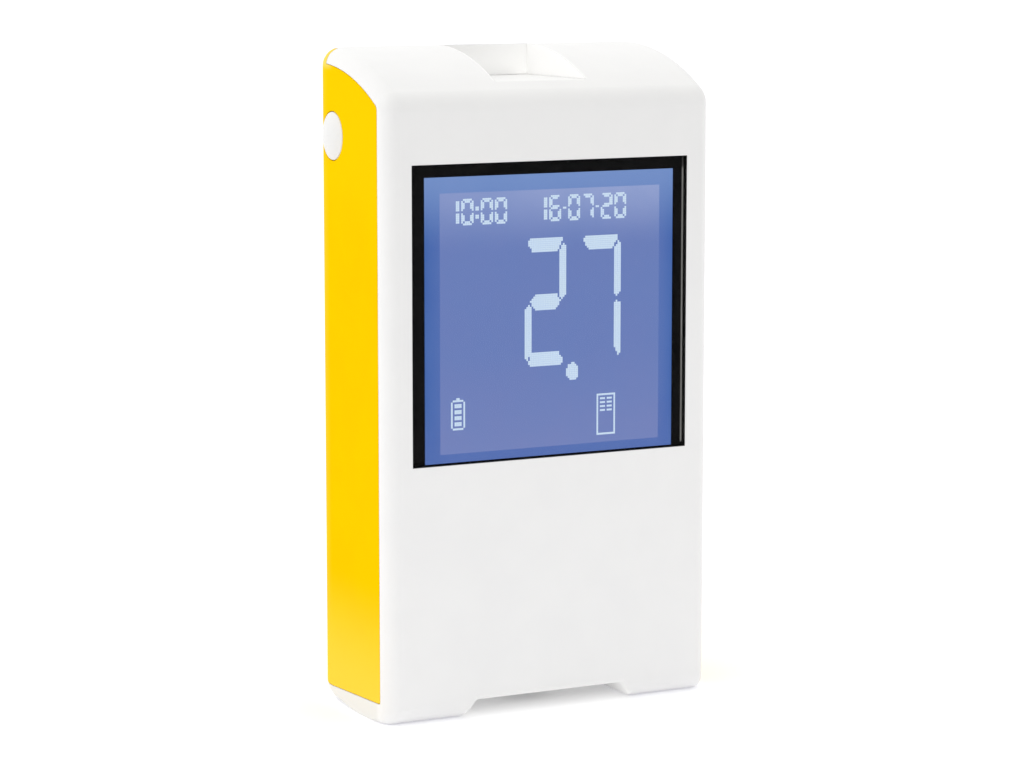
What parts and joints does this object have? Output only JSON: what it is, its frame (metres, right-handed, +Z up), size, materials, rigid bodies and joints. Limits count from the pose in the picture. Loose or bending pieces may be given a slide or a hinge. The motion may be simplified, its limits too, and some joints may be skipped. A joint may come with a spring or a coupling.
{
  "type": "inr meter",
  "caption": "Hand-held home blood-clotting meter that stands on flat feet, with a lit display window, round side buttons and an open test-chip port in its crowned top.",
  "frame": {"origin": "centre of the footprint on the plane that the feet rest on", "axes": "+Z up, -Y is where the front face with the display looks, +X to the right seen from the front"},
  "size_m": [0.067, 0.0336, 0.119],
  "materials": {
    "white_shell": "moulded ABS, fine satin gloss",
    "yellow_shell": "moulded ABS, fine matte grain",
    "white_button": "moulded ABS, satin gloss",
    "clear_window": "clear acrylic, polished",
    "black_bond": "black die-cut adhesive film",
    "display_glass": "polished display glass over a blue backlight",
    "light_guide": "clear acrylic light guide",
    "black_plastic": "moulded black plastic",
    "natural_plastic": "moulded natural plastic",
    "circuit_board": "solder-masked fibreglass laminate",
    "chip_black": "moulded epoxy package",
    "ceramic": "ceramic with tinned ends",
    "flex_amber": "polyimide flexible circuit",
    "bright_steel": "nickel-plated steel",
    "screw_steel": "zinc-plated steel",
    "heater_metal": "plain aluminium",
    "battery_wrap": "heat-shrink wrap over a lithium-ion cell",
    "foam": "closed-cell foam",
    "lead_red": "silicone insulation",
    "lead_black": "silicone insulation",
    "lens_glass": "coated lens",
    "led_lens": "moulded light package"
  },
  "bodies": {
    "housing": {"battery_connector": "natural_plastic", "battery_foam_pad": "foam", "battery_lead_negative": "lead_black", "battery_lead_positive": "lead_red", "battery_pack": "battery_wrap", "board_screws": "screw_steel", "buzzer": "black_plastic", "camera_barrel": "black_plastic", "camera_board": "circuit_board", "camera_flex": "flex_amber", "camera_lens": "lens_glass", "camera_screws": "screw_steel", "camera_sensor": "chip_black", "capacitors": "ceramic", "chip_guide": "natural_plastic", "clock_crystal": "bright_steel", "display_window": "clear_window", "front_shell": "white_shell", "guide_screws": "screw_steel", "heater_plate": "heater_metal", "housing_screws": "screw_steel", "illumination_lights": "led_lens", "lcd_carrier": "black_plastic", "lcd_connector": "natural_plastic", "lcd_flex": "flex_amber", "lcd_glass": "display_glass", "lcd_light_guide": "light_guide", "left_switch_board": "circuit_board", "left_switch_body": "black_plastic", "left_switch_flex": "flex_amber", "main_board": "circuit_board", "memory_chip": "chip_black", "processor_chip": "chip_black", "rear_shell": "yellow_shell", "regulator_chips": "chip_black", "right_switch_board": "circuit_board", "right_switch_body": "black_plastic", "right_switch_flex": "flex_amber", "usb_socket_insert": "black_plastic", "usb_socket_shell": "bright_steel", "window_bond": "black_bond"},
    "left_button": {"left_button_cap": "white_button"},
    "left_plunger": {"left_switch_plunger": "natural_plastic"},
    "right_button": {"right_button_cap": "white_button"},
    "right_plunger": {"right_switch_plunger": "natural_plastic"}
  },
  "joints": [
    {"name": "left_button_press", "type": "slide", "parent": "housing", "child": "left_button", "axis": [1, 0, 0], "range_m": [0, 0.0005], "stiffness_N_per_m": 1000},
    {"name": "left_plunger_press", "type": "slide", "parent": "housing", "child": "left_plunger", "axis": [1, 0, 0], "range_m": [0, 0.0005]},
    {"name": "right_button_press", "type": "slide", "parent": "housing", "child": "right_button", "axis": [-1, 0, 0], "range_m": [0, 0.0005], "stiffness_N_per_m": 1000},
    {"name": "right_plunger_press", "type": "slide", "parent": "housing", "child": "right_plunger", "axis": [-1, 0, 0], "range_m": [0, 0.0005]}
  ],
  "couplings": [
    {"joint": "left_plunger_press", "follows": "left_button_press", "ratio": 1},
    {"joint": "right_plunger_press", "follows": "right_button_press", "ratio": 1}
  ]
}
